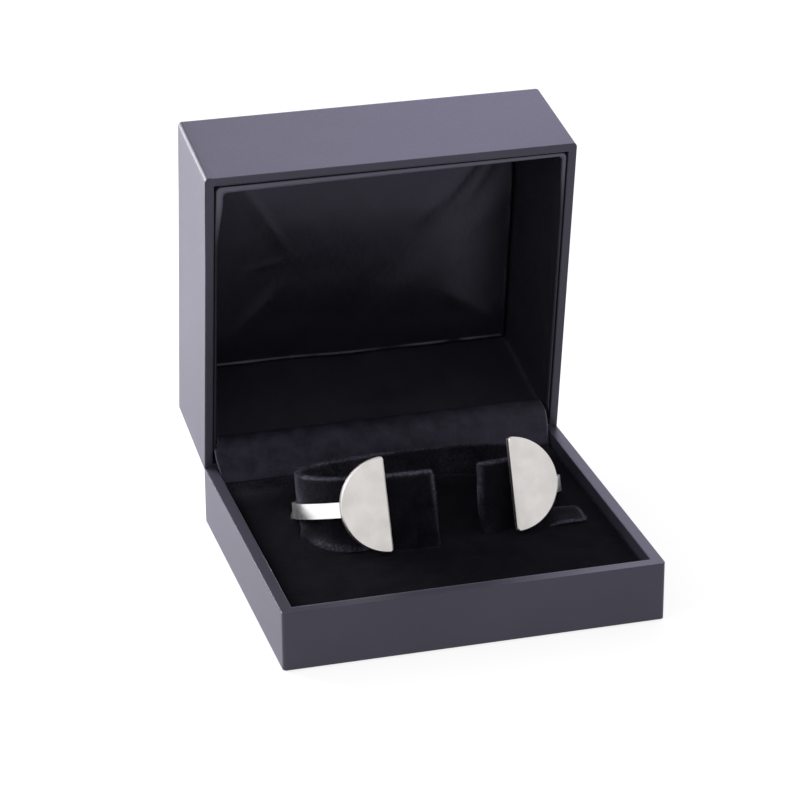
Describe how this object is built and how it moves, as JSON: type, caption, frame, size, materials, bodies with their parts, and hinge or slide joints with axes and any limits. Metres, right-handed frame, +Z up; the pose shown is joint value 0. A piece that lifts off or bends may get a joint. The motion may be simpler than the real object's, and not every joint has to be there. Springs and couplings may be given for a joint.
{
  "type": "bangle display box",
  "caption": "Hinged leatherette presentation box standing open, with satin-lined lid, velvet pad, upright velvet C collar and a silver cuff bangle with half-disc ends.",
  "frame": {"origin": "middle of the base's underside", "axes": "+X along the box's width, +Y from front to hinge, +Z up"},
  "size_m": [0.09, 0.1093, 0.0975],
  "materials": {
    "leatherette": "matte",
    "satin": "satin",
    "hinge_satin": "satin",
    "velvet": "matte",
    "moulded": "matte",
    "card": "matte",
    "foot_paper": "matte",
    "foam": "matte",
    "spring_steel": "satin",
    "polished_silver": "polished",
    "brushed_silver": "satin"
  },
  "bodies": {
    "base": {"base_shell": "moulded", "base_wrap": "leatherette", "base_foot_sheet": "foot_paper", "pad_board": "card", "pad_foam": "foam", "pad_velvet": "velvet", "collar_core": "moulded", "collar_velvet": "velvet", "collar_strap": "velvet", "base_hinge_leaf": "spring_steel", "hinge_pin": "spring_steel", "hinge_spring_left": "spring_steel", "hinge_spring_right": "spring_steel", "hinge_cover": "hinge_satin"},
    "lid": {"lid_shell": "moulded", "lid_wrap": "leatherette", "lid_liner": "moulded", "lid_wall_satin": "satin", "lid_panel_board": "card", "lid_panel_foam": "foam", "lid_panel_satin": "satin", "lid_hinge_leaf": "spring_steel"},
    "bangle": {"bangle_band": "polished_silver", "bangle_left_disc": "brushed_silver", "bangle_right_disc": "brushed_silver"}
  },
  "joints": [
    {"name": "lid_hinge", "type": "hinge", "parent": "base", "child": "lid", "pos_m": [0, 0.03905, 0.01465], "axis": [1, 0, 0], "range_deg": [0, 81.5], "deforming": ["hinge_cover", "hinge_spring_left", "hinge_spring_right"]},
    {"name": "bangle_lift", "type": "slide", "parent": "base", "child": "bangle", "axis": [0, 0.3827, 0.9239], "range_m": [0, 0.0022]}
  ]
}
